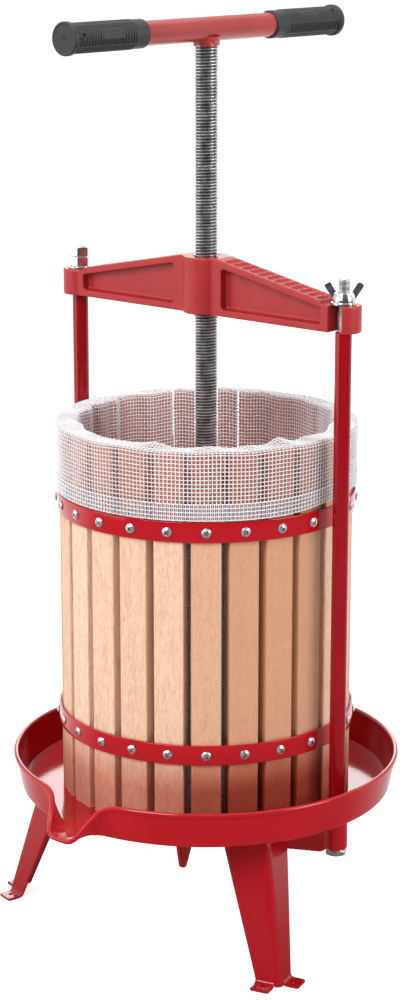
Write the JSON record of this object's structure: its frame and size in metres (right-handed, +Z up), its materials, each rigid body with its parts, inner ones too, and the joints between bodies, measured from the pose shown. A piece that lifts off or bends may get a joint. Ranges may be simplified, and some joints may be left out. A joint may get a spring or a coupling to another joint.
{
  "type": "fruit press",
  "caption": "Floor-standing screw press: slatted wooden basket with a net bag, spouted tray on three legs, swinging crosshead, T-handled screw and press plate.",
  "frame": {"origin": "on the floor, on the press screw's axis", "axes": "+Z up along the screw; +X through the posts towards the hooked, clamped end of the crosshead; spout towards -Y"},
  "size_m": [0.3976, 0.4418, 0.9171],
  "materials": {
    "gloss_red": "gloss",
    "cast_red": "satin powder coat",
    "zinc": "bright zinc",
    "screw_steel": "oiled dark steel",
    "beech": "planed",
    "black_rubber": "matt",
    "white_net": "open net"
  },
  "bodies": {
    "frame": {"tray": "gloss_red", "leg_right": "gloss_red", "leg_left": "gloss_red", "leg_rear": "gloss_red", "base_beam": "gloss_red", "base_gusset": "gloss_red", "left_post": "gloss_red", "right_post": "gloss_red", "post_seals": "black_rubber", "base_washers": "zinc", "base_nuts": "zinc", "pivot_washer": "zinc", "pivot_nut": "zinc", "pivot_lock_nut": "zinc"},
    "basket": {"upper_hoop": "gloss_red", "lower_hoop": "gloss_red", "upper_hoop_screws": "zinc", "lower_hoop_screws": "zinc", "filter_bag": "white_net", "stave_01": "beech", "stave_02": "beech", "stave_03": "beech", "stave_04": "beech", "stave_05": "beech", "stave_06": "beech", "stave_07": "beech", "stave_08": "beech", "stave_09": "beech", "stave_10": "beech", "stave_11": "beech", "stave_12": "beech", "stave_13": "beech", "stave_14": "beech", "stave_15": "beech", "stave_16": "beech", "stave_17": "beech", "stave_18": "beech", "stave_19": "beech", "stave_20": "beech", "stave_21": "beech", "stave_22": "beech", "stave_23": "beech", "stave_24": "beech", "stave_25": "beech"},
    "crosshead": {"crosshead": "cast_red"},
    "plate": {"press_plate": "cast_red", "swivel_hub": "cast_red", "swivel_pins": "screw_steel", "plate_bolts": "zinc"},
    "screw": {"press_screw": "screw_steel", "weld_collar": "gloss_red", "handle_bar": "gloss_red", "front_grip": "black_rubber", "rear_grip": "black_rubber"},
    "washer": {"clamp_washer": "zinc"},
    "wing": {"wing_nut": "zinc"}
  },
  "joints": [
    {"name": "basket_lift", "type": "slide", "parent": "frame", "child": "basket", "axis": [0, 0, 1], "range_m": [0, 0.08]},
    {"name": "crosshead_swing", "type": "hinge", "parent": "frame", "child": "crosshead", "pos_m": [-0.16871, 0, 0.6415], "axis": [0, 0, 1], "range_deg": [0, 3.5]},
    {"name": "plate_travel", "type": "slide", "parent": "crosshead", "child": "plate", "axis": [0, 0, 1], "range_m": [-0.2005, 0.1525]},
    {"name": "screw_turn", "type": "hinge", "parent": "plate", "child": "screw", "pos_m": [0, 0, 0.7], "axis": [0, 0, 1], "range_deg": [-24000, 18240]},
    {"name": "wing_nut_rise", "type": "slide", "parent": "frame", "child": "washer", "axis": [0, 0, 1], "range_m": [-0.0003, 0.018]},
    {"name": "wing_nut_turn", "type": "hinge", "parent": "washer", "child": "wing", "pos_m": [0.16871, 0, 0.66], "axis": [0, 0, 1], "range_deg": [0, 3600]}
  ],
  "couplings": [
    {"joint": "plate_travel", "follows": "screw_turn", "m_per_rad": 0.00047746},
    {"joint": "wing_nut_rise", "follows": "wing_nut_turn", "m_per_rad": 0.00027852}
  ]
}
